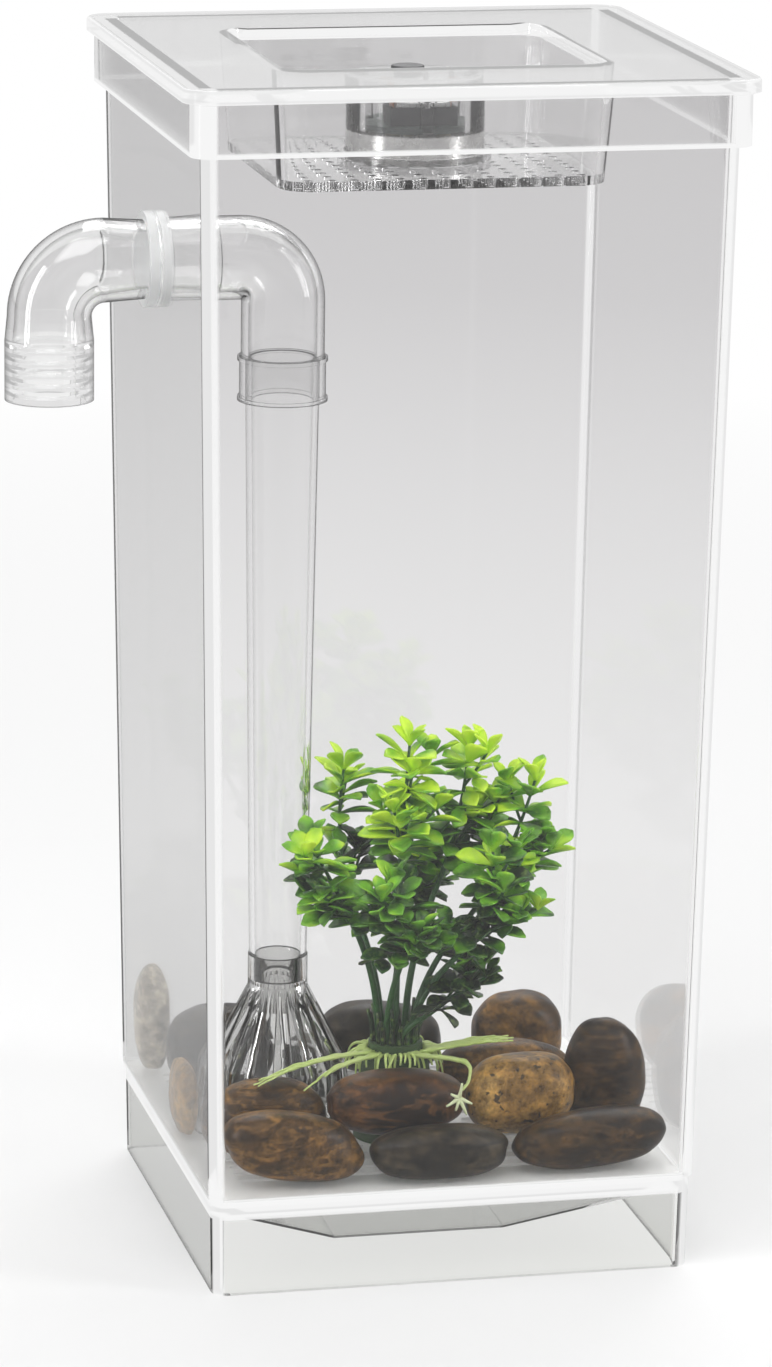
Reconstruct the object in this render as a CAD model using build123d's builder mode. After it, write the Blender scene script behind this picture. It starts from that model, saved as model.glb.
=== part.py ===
"""A clear tower fish tank with a siphon spout, a lid lamp, stones and a plastic plant.

Millimetres. The origin is the middle of the underside, +Z is up, the front faces -Y and
the spout leaves the left wall, towards -X.
"""

from math import atan2, cos, degrees, radians, sin
import os

from build123d import *

os.makedirs("parts", exist_ok=True)

# Tank: a square moulding whose walls lean out towards the top
tank_height = 242.2
tank_foot_width = 99.9
tank_top_width = 107.7
wall = 2.3
corner_radius = 3.2
inner_corner_radius = 1.2
belt_height = 19.4
belt_step = 0.5
floor_thickness = 2.0
sump_width = 36.0
slope_thickness = 1.8
ledge_width = 2.0
ledge_drop = 1.2

# Gravel tray: lies on the ledge round the sump
tray_thickness = 1.6
tray_clearance = 0.3
tray_slot_length = 12.0
tray_slot_width = 1.6
tray_slot_pitch = 4.5
tray_slot_gap = 6.0
tray_slot_rows = 17
tray_slot_columns = 5
tray_skirt_width = 45.0
tray_skirt_wall = 1.4
tray_skirt_depth = 9.0
notch_width = 1.1
notch_pitch = 2.2
notch_height = 2.0
notch_count = 18

# Siphon pipe: one axis through the left wall, one axis up the riser
pipe_height = 203.0
pipe_radius = 8.0
pipe_bore = 6.0
bend_outside = 8.5
bend_bore = 7.0
spout_bend = 11.0
spout_x = -74.3
spout_end_height = 175.0
outlet_radius = 9.0
outlet_length = 12.0
outlet_bore = 7.4
ridge_count = 5
ridge_pitch = 2.4
ridge_height = 0.35
spigot_radius = 7.1
spigot_length = 8.0
fit_gap = 0.05

# Bushing in the wall
bushing_radius = 9.7
bushing_neck = 8.9
bushing_lip = 2.1

# Inner elbow, riser and foot
riser_x = -26.6
elbow_bend = 9.0
collar_radius = 8.8
collar_bead = 0.4
collar_height = 9.0
collar_drop = 11.4
riser_top_radius = 7.5
riser_low_radius = 6.0
riser_wall = 1.2
socket_gap = 0.1
foot_neck_radius = 6.2
foot_neck_height = 6.6
foot_height = 37.0
foot_shoulder_radius = 14.3
foot_shoulder_height = 14.5
foot_radius = 16.0
foot_wall = 1.3
foot_slots = 20
foot_slot_width = 1.2
foot_ring_height = 2.4

# Lid
lid_width = 115.0
lid_thickness = 2.8
lid_corner = 6.0
lid_edge = 0.7
lid_overhang = 1.6
skirt_depth = 10.6
skirt_wall = 1.8
well_width = 66.0
well_breadth = 62.0
well_draft = 1.5
well_depth = 22.2
well_wall = 1.8
well_corner = 5.0
well_hole_radius = 0.9
well_hole_pitch = 4.6
well_holes = 13

# Lamp in the lid's well
lamp_radius = 14.0
lamp_height = 16.4
lamp_wall = 1.3
lamp_floor = 1.6
lamp_seat_gap = 0.4
lamp_seat_wall = 1.2
lamp_seat_height = 1.6
cap_thickness = 1.6
cap_plug_depth = 1.4
cap_plug_gap = 0.15
seal_thickness = 0.7
seal_width = 0.9
button_radius = 3.4
button_proud = 1.2
button_travel = 1.0
button_flange = 0.8
button_gap = 0.3
plunger_radius = 1.4
board_radius = 11.6
board_thickness = 1.2
board_height = 4.6
diode_radius = 1.5
diode_length = 3.2
diode_count = 3
diode_ring = 6.0
cell_radius = 2.9
cell_length = 2.7
cell_count = 4
cell_gap = 0.1
cell_row_y = -4.2
holder_wall = 0.8
contact_thickness = 0.4
contact_width = 3.0
contact_foot = 1.6
switch_y = 5.2
switch_width = 5.0
switch_height = 2.0
post_ring = 10.4
post_count = 3
post_radius = 1.4
post_shoulder = 0.5
post_gap = 0.2
screw_radius = 0.6
screw_head = 1.1
screw_head_height = 0.6
screw_length = 5.0

# Plant
plant_x = -4.0
plant_y = -11.5
base_radius = 8.6
base_neck = 5.6
base_height = 18.0
base_neck_height = 2.4
base_edge = 1.2
peg_radius = 0.9
peg_depth = 2.0
peg_ring = 3.6
peg_proud = 1.0
stem_radius = 0.75
twig_radius = 0.5
leaf_length = 7.6
leaf_width = 4.6
leaf_thickness = 0.5
leaf_core = 1.1
upper_leaves = 4
upper_rise = 58.0
lower_leaves = 5
lower_rise = 12.0
strand_radius = 0.7
strand_collar = 1.1
strand_collar_height = 1.2
strand_lap = 0.3
star_radius = 0.5
star_length = 4.0
star_arms = 5
star_droop = 1.5

# Stones: the bed's layout was chosen for this width and grows with the tank
stone_bed_width = 95.9

# Derived places
draft = (tank_top_width - tank_foot_width) / tank_height
tray_seat = belt_height - ledge_drop
tray_top = tray_seat + tray_thickness
lid_top = tank_height + lid_thickness
well_floor_top = lid_top - well_depth
foot_top = tray_top + foot_height


def tank_width(height):
    """Outside width of the tank's walls at a height."""
    return tank_foot_width + draft * height


def inside_width(height):
    """Inside width of the tank at a height."""
    return tank_width(height) - 2 * wall


left_wall_x = -tank_width(pipe_height) / 2


def square(height, width, radius=0.0):
    """A square across the tank at a height, with its corners rounded if a radius is given."""
    with BuildSketch(Plane.XY.offset(height)) as section:
        Rectangle(width, width)
        if radius:
            fillet(section.vertices(), radius)
    return section.sketch


def save(builder, label):
    """Name a finished piece and write it."""
    builder.part.label = label
    export_step(builder.part, f"parts/{label}.step")


# Tank shell
under_top = tray_seat - slope_thickness
sump_rim = inside_width(tray_seat) - 2 * ledge_width
slope_run = (sump_rim - sump_width) / (tray_seat - floor_thickness)
plinth_inset = 2 * (wall + belt_step)
with BuildPart() as plinth_hollow:
    loft([square(0, tank_width(0) - plinth_inset, inner_corner_radius),
          square(under_top, tank_width(under_top) - plinth_inset, inner_corner_radius)], ruled=True)
    loft([square(0, sump_width), square(under_top, sump_width + slope_run * under_top)],
         ruled=True, mode=Mode.SUBTRACT)

with BuildPart() as tank_shell:
    loft([square(0, tank_width(0) - 2 * belt_step, corner_radius),
          square(belt_height, tank_width(belt_height) - 2 * belt_step, corner_radius)], ruled=True)
    loft([square(belt_height, tank_width(belt_height), corner_radius),
          square(tank_height, tank_top_width, corner_radius)], ruled=True)
    loft([square(tray_seat, inside_width(tray_seat), inner_corner_radius),
          square(tank_height, inside_width(tank_height), inner_corner_radius)],
         ruled=True, mode=Mode.SUBTRACT)
    loft([square(floor_thickness, sump_width), square(tray_seat, sump_rim)],
         ruled=True, mode=Mode.SUBTRACT)
    add(plinth_hollow.part, mode=Mode.SUBTRACT)
    with BuildSketch(Plane.YZ.offset(left_wall_x - wall)):
        with Locations((0, pipe_height)):
            Circle(bushing_neck + fit_gap)
    extrude(amount=3 * wall, mode=Mode.SUBTRACT)
save(tank_shell, "tank_shell")

# Gravel tray: a slotted plate with a notched skirt under its middle
tray_width = inside_width(tray_seat) - 2 * tray_clearance
skirt_bottom = tray_seat - tray_skirt_depth
skirt_hole = tray_skirt_width - 2 * tray_skirt_wall
notch_span = tray_skirt_width + 2 * tray_skirt_wall
with BuildPart() as gravel_tray:
    with BuildSketch(Plane.XY.offset(tray_seat)):
        RectangleRounded(tray_width, tray_width, inner_corner_radius)
    extrude(amount=tray_thickness)
    with BuildSketch(Plane.XY.offset(skirt_bottom)):
        Rectangle(tray_skirt_width, tray_skirt_width)
        Rectangle(skirt_hole, skirt_hole, mode=Mode.SUBTRACT)
    extrude(amount=tray_skirt_depth)
    with BuildSketch(Plane.XY.offset(tray_seat)):
        with GridLocations(tray_slot_length + tray_slot_gap, tray_slot_pitch,
                           tray_slot_columns, tray_slot_rows):
            SlotOverall(tray_slot_length, tray_slot_width)
    extrude(amount=tray_thickness, mode=Mode.SUBTRACT)
    with BuildSketch(Plane.XY.offset(skirt_bottom)):
        with GridLocations(notch_pitch, 0, notch_count, 1):
            Rectangle(notch_width, notch_span)
        with GridLocations(0, notch_pitch, 1, notch_count):
            Rectangle(notch_span, notch_width)
    extrude(amount=notch_height, mode=Mode.SUBTRACT)
save(gravel_tray, "gravel_tray")

# Wall bushing: a grooved ring that grips the edge of the hole
pipe_axis = Axis((0, 0, pipe_height), (1, 0, 0))
bushing_out = left_wall_x - bushing_lip
bushing_in = left_wall_x + wall + bushing_lip
pipe_clear = pipe_radius + fit_gap
groove_play = bushing_radius * draft / 2 + fit_gap
low_corner = (Align.MIN, Align.MIN)
with BuildPart() as wall_bushing:
    with BuildSketch(Plane.XZ):
        with Locations((bushing_out, pipe_height + pipe_clear)):
            Rectangle(bushing_in - bushing_out, bushing_radius - pipe_clear, align=low_corner)
        with Locations((left_wall_x - groove_play, pipe_height + bushing_neck)):
            Rectangle(wall + 2 * groove_play, bushing_radius, align=low_corner,
                      mode=Mode.SUBTRACT)
    revolve(axis=pipe_axis)
save(wall_bushing, "wall_bushing")

# Spout: an arm through the bushing, a tight bend and a downspout with inner ridges
bend_x = spout_x + spout_bend
bend_z = pipe_height - spout_bend
arm_end = bushing_in + 4 * fit_gap
outlet_top = spout_end_height + outlet_length
ridge_low = spout_end_height + ridge_pitch / 2


def bend_at(x, z, radius, section_radius, turn):
    """A quarter of a ring in the XZ plane, from the level arm to the upright one."""
    with BuildPart() as quarter:
        with BuildSketch(Plane.YZ.offset(x)):
            with Locations((0, z + radius)):
                Circle(section_radius)
        revolve(axis=Axis((x, 0, z), (0, turn, 0)), revolution_arc=90)
    return quarter.part


def turned(points, axis):
    """A solid of revolution from an outline in the XZ plane."""
    with BuildPart() as body:
        with BuildSketch(Plane.XZ):
            with BuildLine():
                Polyline(*points, close=True)
            make_face()
        revolve(axis=axis)
    return body.part


def arm(x_0, radius_0, x_1, radius_1):
    """A round arm along X between two radii."""
    corners = [(x_0, pipe_height), (x_0, pipe_height + radius_0),
               (x_1, pipe_height + radius_1), (x_1, pipe_height)]
    return turned(corners, pipe_axis)


def upright(x, steps):
    """A round upright through (height, radius) steps."""
    corners = [(x, steps[0][0])] + [(x + radius, height) for height, radius in steps]
    corners.append((x, steps[-1][0]))
    return turned(corners, Axis((x, 0, 0), (0, 0, 1)))


ridges = []
for ridge in range(ridge_count):
    height = ridge_low + ridge * ridge_pitch
    ridges += [(height, outlet_bore), (height + ridge_pitch / 3, outlet_bore - ridge_height),
               (height + 2 * ridge_pitch / 3, outlet_bore)]
with BuildPart() as spout:
    add(bend_at(bend_x, bend_z, spout_bend, bend_outside, -1))
    add(arm(bend_x, bend_outside, bushing_out, pipe_radius))
    add(arm(bushing_out, pipe_radius, arm_end, pipe_radius))
    add(arm(arm_end, spigot_radius, arm_end + spigot_length, spigot_radius))
    add(upright(spout_x, [(spout_end_height, outlet_radius), (outlet_top, outlet_radius),
                          (bend_z, bend_outside)]))
    add(bend_at(bend_x, bend_z, spout_bend, bend_bore, -1), mode=Mode.SUBTRACT)
    add(arm(bend_x, bend_bore, bushing_out, pipe_bore), mode=Mode.SUBTRACT)
    add(arm(bushing_out, pipe_bore, arm_end + spigot_length, pipe_bore), mode=Mode.SUBTRACT)
    add(upright(spout_x, [(spout_end_height, outlet_bore)] + ridges + [(bend_z, bend_bore)]),
        mode=Mode.SUBTRACT)
save(spout, "spout")

# Inner elbow: takes the spigot at one end and the riser in its collar
elbow_x = riser_x - elbow_bend
elbow_z = pipe_height - elbow_bend
elbow_end = arm_end + 4 * fit_gap
elbow_socket = spigot_radius + fit_gap
collar_top = elbow_z - collar_drop
collar_bottom = collar_top - collar_height
riser_socket = riser_top_radius + socket_gap
bead_height = 2 * collar_bead
with BuildPart() as inner_elbow:
    add(bend_at(elbow_x, elbow_z, elbow_bend, bend_outside, 1))
    add(arm(elbow_end, bend_outside, elbow_x, bend_outside))
    add(upright(riser_x, [(collar_bottom, collar_radius + collar_bead),
                          (collar_bottom + bead_height, collar_radius + collar_bead),
                          (collar_bottom + bead_height, collar_radius),
                          (collar_top - bead_height, collar_radius),
                          (collar_top - bead_height, collar_radius + collar_bead),
                          (collar_top, collar_radius + collar_bead),
                          (collar_top, bend_outside), (elbow_z, bend_outside)]))
    add(bend_at(elbow_x, elbow_z, elbow_bend, bend_bore, 1), mode=Mode.SUBTRACT)
    add(arm(elbow_end, elbow_socket, arm_end + spigot_length + socket_gap, elbow_socket),
        mode=Mode.SUBTRACT)
    add(arm(elbow_end, bend_bore, elbow_x, bend_bore), mode=Mode.SUBTRACT)
    add(upright(riser_x, [(collar_bottom, riser_socket), (collar_top, riser_socket),
                          (collar_top, bend_bore), (elbow_z, bend_bore)]), mode=Mode.SUBTRACT)
save(inner_elbow, "inner_elbow")

# Riser: a tapered tube with a thinner end that plugs into the foot
riser_top = collar_top - socket_gap
plug_radius = foot_neck_radius - foot_wall
plug_bottom = foot_top - foot_neck_height + foot_wall
with BuildPart() as riser_tube:
    add(upright(riser_x, [(plug_bottom, plug_radius), (foot_top, plug_radius),
                          (foot_top, riser_low_radius), (collar_bottom, riser_top_radius),
                          (riser_top, riser_top_radius)]))
    add(upright(riser_x, [(plug_bottom, plug_radius - riser_wall),
                          (foot_top, riser_low_radius - riser_wall),
                          (collar_bottom, riser_top_radius - riser_wall),
                          (riser_top, riser_top_radius - riser_wall)]), mode=Mode.SUBTRACT)
save(riser_tube, "riser_tube")

# Strainer foot: a flared bell with upright slots, standing on the tray
neck_bottom = foot_top - foot_neck_height
shoulder = tray_top + foot_shoulder_height
with BuildPart() as strainer_foot:
    add(upright(riser_x, [(tray_top, foot_radius), (shoulder, foot_shoulder_radius),
                          (neck_bottom, foot_neck_radius), (foot_top, foot_neck_radius)]))
    add(upright(riser_x, [(tray_top, foot_radius - foot_wall),
                          (shoulder - foot_wall, foot_shoulder_radius - foot_wall),
                          (neck_bottom, plug_radius - foot_wall),
                          (neck_bottom + foot_wall, plug_radius - foot_wall),
                          (neck_bottom + foot_wall, plug_radius + socket_gap),
                          (foot_top, plug_radius + socket_gap)]), mode=Mode.SUBTRACT)
    with BuildSketch(Plane.XY.offset(tray_top + foot_ring_height)):
        with Locations((riser_x, 0)):
            with PolarLocations(foot_neck_radius, foot_slots):
                Rectangle(foot_radius, foot_slot_width, align=(Align.MIN, Align.CENTER))
    extrude(amount=neck_bottom - tray_top - foot_ring_height, mode=Mode.SUBTRACT)
save(strainer_foot, "strainer_foot")

# Lid: a plate with a skirt outside the tank and a perforated well
skirt_width = lid_width - 2 * lid_overhang
well_low_z = well_floor_top - well_wall
well_slope = 2 * well_draft / well_depth


def well_section(height, outside):
    """The well's rounded oblong at a height, grown by a wall for its outside."""
    shrink = well_slope * (lid_top - height)
    with BuildSketch(Plane.XY.offset(height)) as section:
        RectangleRounded(well_width - shrink + 2 * outside, well_breadth - shrink + 2 * outside,
                         well_corner + outside)
    return section.sketch


with BuildPart() as lid:
    with BuildSketch(Plane.XY.offset(tank_height)):
        RectangleRounded(lid_width, lid_width, lid_corner)
    extrude(amount=lid_thickness)
    fillet(lid.edges().group_by(Axis.Z)[-1], lid_edge)
    with BuildSketch(Plane.XY.offset(tank_height - skirt_depth)):
        RectangleRounded(skirt_width, skirt_width, lid_corner - lid_overhang)
        RectangleRounded(skirt_width - 2 * skirt_wall, skirt_width - 2 * skirt_wall,
                         lid_corner - lid_overhang - skirt_wall, mode=Mode.SUBTRACT)
    extrude(amount=skirt_depth)
    loft([well_section(well_low_z, well_wall), well_section(tank_height, well_wall)], ruled=True)
    loft([well_section(well_floor_top, 0), well_section(lid_top, 0)], ruled=True,
         mode=Mode.SUBTRACT)
    with BuildSketch(Plane.XY.offset(well_floor_top)):
        Circle(lamp_radius + lamp_seat_gap + lamp_seat_wall)
        Circle(lamp_radius + lamp_seat_gap, mode=Mode.SUBTRACT)
    extrude(amount=lamp_seat_height)
    with BuildSketch(Plane.XY.offset(well_low_z)):
        with GridLocations(well_hole_pitch, well_hole_pitch, well_holes, well_holes):
            Circle(well_hole_radius)
        Circle(lamp_radius + lamp_seat_gap + lamp_seat_wall + well_hole_radius,
               mode=Mode.SUBTRACT)
    extrude(amount=well_wall, mode=Mode.SUBTRACT)
save(lid, "lid")

# Lamp: a clear cup on the well's floor, with its works under a screwed cap
lamp_base = well_floor_top
cap_top = lamp_base + lamp_height
cap_bottom = cap_top - cap_thickness
cup_top = cap_bottom - seal_thickness
cup_inside = lamp_radius - lamp_wall
board_bottom = lamp_base + lamp_floor + board_height
board_top = board_bottom + board_thickness
plug_bottom_z = cup_top - cap_plug_depth
post_places = PolarLocations(post_ring, post_count, start_angle=30)
with BuildPart() as lamp_body:
    with BuildSketch(Plane.XY.offset(lamp_base)):
        Circle(lamp_radius)
    extrude(amount=cup_top - lamp_base)
    with BuildSketch(Plane.XY.offset(lamp_base + lamp_floor)):
        Circle(cup_inside)
    extrude(amount=cup_top - lamp_base, mode=Mode.SUBTRACT)
    with BuildSketch(Plane.XY.offset(lamp_base + lamp_floor)):
        with post_places:
            Circle(post_radius + post_shoulder)
    extrude(amount=board_height)
    with BuildSketch(Plane.XY.offset(board_bottom)):
        with post_places:
            Circle(post_radius)
    extrude(amount=plug_bottom_z - board_bottom)
    with BuildSketch(Plane.XY.offset(cap_top - screw_length - fit_gap)):
        with post_places:
            Circle(screw_radius + fit_gap)
    extrude(amount=screw_length, mode=Mode.SUBTRACT)
save(lamp_body, "lamp_body")

with BuildPart() as lamp_cap:
    with BuildSketch(Plane.XY.offset(cap_bottom)):
        Circle(lamp_radius)
    extrude(amount=cap_thickness)
    fillet(lamp_cap.edges().group_by(Axis.Z)[-1], cap_thickness / 4)
    with BuildSketch(Plane.XY.offset(plug_bottom_z)):
        Circle(cup_inside - cap_plug_gap)
        Circle(cup_inside - cap_plug_gap - lamp_wall, mode=Mode.SUBTRACT)
        with post_places:
            Circle(post_radius + post_shoulder)
    extrude(amount=cap_bottom - plug_bottom_z)
    with BuildSketch(Plane.XY.offset(plug_bottom_z)):
        with Locations((0, switch_y)):
            Circle(button_radius + button_gap)
        with post_places:
            Circle(screw_radius + fit_gap)
    extrude(amount=cap_top - plug_bottom_z, mode=Mode.SUBTRACT)
save(lamp_cap, "lamp_cap")

with BuildPart() as lamp_seal:
    with BuildSketch(Plane.XY.offset(cup_top)):
        seal_middle = lamp_radius - lamp_wall / 2
        Circle(seal_middle + seal_width / 2)
        Circle(seal_middle - seal_width / 2, mode=Mode.SUBTRACT)
    extrude(amount=seal_thickness)
save(lamp_seal, "lamp_seal")

with BuildPart() as cap_screws:
    with BuildSketch(Plane.XY.offset(cap_top - screw_length)):
        with post_places:
            Circle(screw_radius)
    extrude(amount=screw_length)
    with BuildSketch(Plane.XY.offset(cap_top)):
        with post_places:
            Circle(screw_head)
    extrude(amount=screw_head_height)
    with BuildSketch(Plane.XY.offset(cap_top + screw_head_height / 2)):
        with post_places:
            Rectangle(screw_head * 1.3, screw_radius / 2)
            Rectangle(screw_radius / 2, screw_head * 1.3)
    extrude(amount=screw_head_height, mode=Mode.SUBTRACT)
save(cap_screws, "cap_screws")

switch_top = board_top + switch_height
with BuildPart() as lamp_button:
    with BuildSketch(Plane.XY.offset(cap_bottom - button_flange)):
        with Locations((0, switch_y)):
            Circle(button_radius + button_flange)
    extrude(amount=button_flange)
    with BuildSketch(Plane.XY.offset(cap_bottom)):
        with Locations((0, switch_y)):
            Circle(button_radius)
    extrude(amount=cap_thickness + button_proud)
    fillet(lamp_button.edges().group_by(Axis.Z)[-1], button_proud / 3)
    with BuildSketch(Plane.XY.offset(switch_top + button_travel + fit_gap)):
        with Locations((0, switch_y)):
            Circle(plunger_radius)
    extrude(amount=cap_bottom - switch_top - button_travel)
save(lamp_button, "lamp_button")

with BuildPart() as circuit_board:
    with BuildSketch(Plane.XY.offset(board_bottom)):
        Circle(board_radius)
        with post_places:
            Circle(post_radius + post_gap, mode=Mode.SUBTRACT)
    extrude(amount=board_thickness)
save(circuit_board, "circuit_board")

with BuildPart() as light_diodes:
    with BuildSketch(Plane.XY.offset(board_bottom - diode_length)):
        with PolarLocations(diode_ring, diode_count, start_angle=-30):
            Circle(diode_radius)
    extrude(amount=diode_length)
    fillet(light_diodes.edges().group_by(Axis.Z)[0], diode_radius * 0.9)
save(light_diodes, "light_diodes")

with BuildPart() as lamp_switch:
    with BuildSketch(Plane.XY.offset(board_top)):
        with Locations((0, switch_y)):
            Rectangle(switch_width, switch_width)
    extrude(amount=switch_height)
save(lamp_switch, "lamp_switch")

row_length = cell_count * (cell_length + cell_gap) - cell_gap
holder_inside = row_length + 2 * (contact_thickness + cell_gap)
holder_breadth = 2 * (cell_radius + cell_gap)
cell_z = board_top + holder_wall + cell_radius + cell_gap
with BuildPart() as cell_holder:
    with BuildSketch(Plane.XY.offset(board_top)):
        with Locations((0, cell_row_y)):
            Rectangle(holder_inside + 2 * holder_wall, holder_breadth + 2 * holder_wall)
    extrude(amount=holder_wall + cell_radius)
    with BuildSketch(Plane.XY.offset(board_top + holder_wall)):
        with Locations((0, cell_row_y)):
            Rectangle(holder_inside, holder_breadth)
    extrude(amount=cell_radius, mode=Mode.SUBTRACT)
save(cell_holder, "cell_holder")

with BuildPart() as lamp_cells:
    for cell in range(cell_count):
        cell_start = -row_length / 2 + cell * (cell_length + cell_gap)
        with BuildSketch(Plane.YZ.offset(cell_start)):
            with Locations((cell_row_y, cell_z)):
                Circle(cell_radius)
        extrude(amount=cell_length)
save(lamp_cells, "lamp_cells")

with BuildPart() as cell_contacts:
    for side in (-1, 1):
        middle = side * (holder_inside - contact_thickness) / 2
        with BuildSketch(Plane.XZ.offset(-cell_row_y)):
            with Locations((middle, board_top + holder_wall)):
                Rectangle(contact_thickness, 2 * cell_radius, align=(Align.CENTER, Align.MIN))
            with Locations((middle + side * contact_foot / 2, board_top + holder_wall
                            + 2 * cell_radius)):
                Rectangle(contact_foot + contact_thickness, contact_thickness)
        extrude(amount=contact_width / 2, both=True)
save(cell_contacts, "cell_contacts")

# Plastic plant: a weighted base, a collar of root strands and leafy sprigs in sockets
base_top = tray_top + base_height
neck_top = base_top + base_neck_height
with BuildPart() as plant_base:
    add(turned([(plant_x, tray_top), (plant_x + base_radius, tray_top),
                (plant_x + base_neck + base_edge, base_top), (plant_x + base_neck, base_top),
                (plant_x + base_neck, neck_top), (plant_x, neck_top)],
               Axis((plant_x, 0, 0), (0, 0, 1))).moved(Location((0, plant_y, 0))))
    with BuildSketch(Plane.XY.offset(neck_top - peg_depth)):
        with Locations((plant_x, plant_y)):
            with PolarLocations(peg_ring, 8):
                Circle(peg_radius + socket_gap)
            Circle(peg_radius + socket_gap)
    extrude(amount=peg_depth, mode=Mode.SUBTRACT)
save(plant_base, "plant_base")


def stick(start, end, radius, lap=0.0):
    """A round stick between two points, which may lap over its end."""
    start = Vector(*start)
    end = Vector(*end)
    with BuildPart() as rod:
        with BuildSketch(Plane(origin=start, z_dir=end - start)):
            Circle(radius)
        extrude(amount=(end - start).length + lap)
    return rod.part


def leaf(root, turn, rise):
    """A pointed oval leaf that leaves a twig's tip in a direction."""
    turn = radians(turn)
    rise = radians(rise)
    along = Vector(cos(turn) * cos(rise), sin(turn) * cos(rise), sin(rise))
    across = Vector(-sin(turn), cos(turn), 0)
    with BuildPart() as blade:
        with BuildSketch(Plane(origin=Vector(*root), x_dir=along, z_dir=along.cross(across))):
            with BuildLine():
                ThreePointArc((0, 0), (leaf_length / 2, leaf_width / 2), (leaf_length, 0))
                ThreePointArc((leaf_length, 0), (leaf_length / 2, -leaf_width / 2), (0, 0))
            make_face()
        extrude(amount=leaf_thickness / 2, both=True)
    return blade.part


def sprig(label, socket, knee, tips):
    """A moulded sprig: a peg, a stem to its knee, and a twig with leaves to each tip."""
    angle = radians(45 * socket)
    ring = peg_ring if socket < 8 else 0
    foot = (plant_x + ring * cos(angle), plant_y + ring * sin(angle), neck_top)
    growth = [stick(foot[:2] + (neck_top - peg_depth,), foot[:2] + (neck_top + peg_proud,),
                    peg_radius), stick(foot, knee, stem_radius)]
    for order, tip in enumerate(tips):
        growth.append(stick(knee, tip, twig_radius))
        for k in range(upper_leaves):
            growth.append(leaf(tip, 360 / upper_leaves * k + 40 * order, upper_rise))
        for k in range(lower_leaves):
            growth.append(leaf(tip, 360 / lower_leaves * k + 25 * order, lower_rise))
    with BuildPart() as plant_sprig:
        add(growth)
        with Locations(knee):
            Sphere(stem_radius)
        with Locations(*tips):
            Sphere(leaf_core)
    save(plant_sprig, label)


# Each sprig: its socket round the collar, its knee, and the tips that hold its leaves
sprig("sprig_left", 4, (-14, -17, 66), [(-24, -18, 82), (-21, -19, 68)])
sprig("sprig_left_back", 3, (-11, -3, 66), [(-11, 9, 90), (-13, 7, 73)])
sprig("sprig_top", 8, (-3, -10, 74), [(-1, -8, 99), (-5, -12, 86)])
sprig("sprig_front", 5, (-5, -19, 58), [(-8, -25, 74), (2, -24, 60)])
sprig("sprig_back", 2, (0, -2, 62), [(2, 9, 82), (8, 8, 66)])
sprig("sprig_right_top", 1, (6, -6, 72), [(12, -6, 97), (15, -4, 84)])
sprig("sprig_right", 0, (10, -11, 64), [(26, -7, 90), (27, -9, 76)])
sprig("sprig_right_front", 7, (8, -18, 60), [(13, -24, 80), (19, -21, 65)])
sprig("sprig_low", 6, (0, -17, 46), [(13, -15, 52)])

# Root strands: a collar round the base's neck and limp strands over the stones
collar_inside = base_neck + socket_gap
strand_rest = base_top + strand_radius + socket_gap
strand_ring = collar_inside + strand_radius + socket_gap
star = (3.5, -37.0, base_top - 2.6)
strand_routes = [
    (-150, [(-18, -20, base_top + 1.8), (-29, -27, base_top + 1.8), (-38, -31, base_top - 0.6)]),
    (-130, [(-19, -25, base_top + 1.0), (-28, -33, base_top - 1.6)]),
    (-30, [(10, -17.5, base_top + 2.7), (21, -19, base_top + 3.2)]),
    (-48, [(11, -21, base_top + 3.4), (19, -24, base_top + 4.2)]),
    (-76, [(7.2, -25, base_top + 0.8), (6.6, -33, base_top - 0.6), star]),
]
strands = []
for angle, bends in strand_routes:
    root = (plant_x + strand_ring * cos(radians(angle)),
            plant_y + strand_ring * sin(radians(angle)), strand_rest)
    for start, end in zip([root] + bends, bends):
        strands.append(stick(start, end, strand_radius, strand_lap))
for star_arm in range(star_arms):
    swing = radians(360 / star_arms * star_arm)
    strands.append(stick(star, (star[0] + star_length * cos(swing), star[1] - star_droop,
                                star[2] + star_length * sin(swing)), star_radius))
with BuildPart() as root_strands:
    with BuildSketch(Plane.XY.offset(base_top)):
        with Locations((plant_x, plant_y)):
            Circle(collar_inside + strand_collar)
            Circle(collar_inside, mode=Mode.SUBTRACT)
    extrude(amount=strand_collar_height)
    add(strands)
save(root_strands, "root_strands")

# Stones: worn oval pebbles, each laid by hand on the tray or on its neighbours
bed_scale = inside_width(tray_top) / stone_bed_width


def pebble(label, place, size, turn=0, tilt=0):
    """An oval stone: its middle above the tray, its half axes, its turn and its tilt."""
    x, y, rise = [value * bed_scale for value in place]
    with BuildPart() as stone:
        Sphere(radius=1)
        scale(by=tuple(half * bed_scale for half in size))
    stone.part = stone.part.moved(Location((x, y, tray_top + rise), (0, tilt, turn)))
    save(stone, label)


pebble("stone_front_left", (-31.5, -39.0, 7.8), (15.0, 7.0, 7.2), tilt=12)
pebble("stone_left", (-33.5, -24.5, 9.1), (12.5, 6.8, 9.0))
pebble("stone_left_thin", (-45.0, -4.0, 8.1), (2.5, 9.0, 8.0))
pebble("stone_back_left", (-32.5, 25.0, 9.4), (11.0, 7.5, 9.3))
pebble("stone_pale_upright", (-43.6, 39.0, 12.2), (3.8, 6.5, 12.1))
pebble("stone_dark_small", (-15.0, 20.5, 7.1), (6.0, 5.5, 7.0))
pebble("stone_back", (2.0, 30.0, 8.0), (14.0, 7.5, 7.8), tilt=6)
pebble("stone_front_top", (-8.0, -29.3, 12.9), (15.0, 7.4, 6.6))
pebble("stone_front_dark", (-1.5, -41.2, 5.7), (14.8, 6.3, 5.6))
pebble("stone_speckled", (18.8, -26.6, 12.4), (12.0, 8.0, 8.4), tilt=-8)
pebble("stone_front_right", (30.5, -39.5, 6.2), (16.4, 7.0, 5.9), tilt=-5)
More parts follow.
